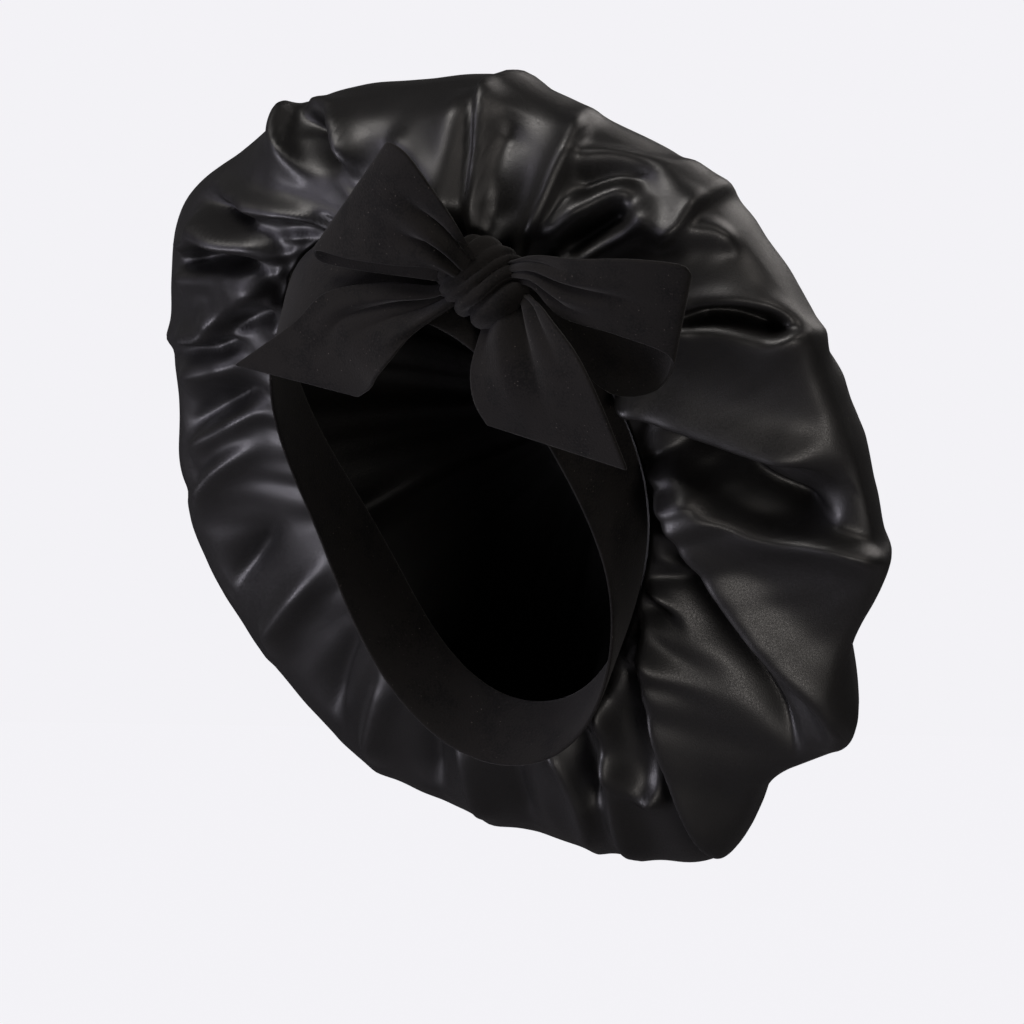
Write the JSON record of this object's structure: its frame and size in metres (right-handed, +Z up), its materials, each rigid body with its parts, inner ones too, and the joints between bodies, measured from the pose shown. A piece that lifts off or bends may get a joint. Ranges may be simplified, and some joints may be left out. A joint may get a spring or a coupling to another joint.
{
  "type": "sleep bonnet",
  "caption": "Jumbo black satin sleep bonnet in its worn shape, gathered onto a matte knit band that ties in a bow above the forehead.",
  "frame": {"origin": "centre of the head opening, whose plane leans 27.5 degrees back from the forehead to the nape", "axes": "+Z up as worn, -Y the way the wearer faces, +X the wearer's left"},
  "size_m": [0.4256, 0.3088, 0.3975],
  "materials": {
    "satin": "black satin, glossy along its folds",
    "knit": "matte black jersey knit"
  },
  "bodies": {
    "root": {"crown": "satin", "band": "knit", "knot": "knit", "loop_left": "knit", "loop_right": "knit", "tail_left": "knit", "tail_right": "knit"}
  },
  "joints": []
}
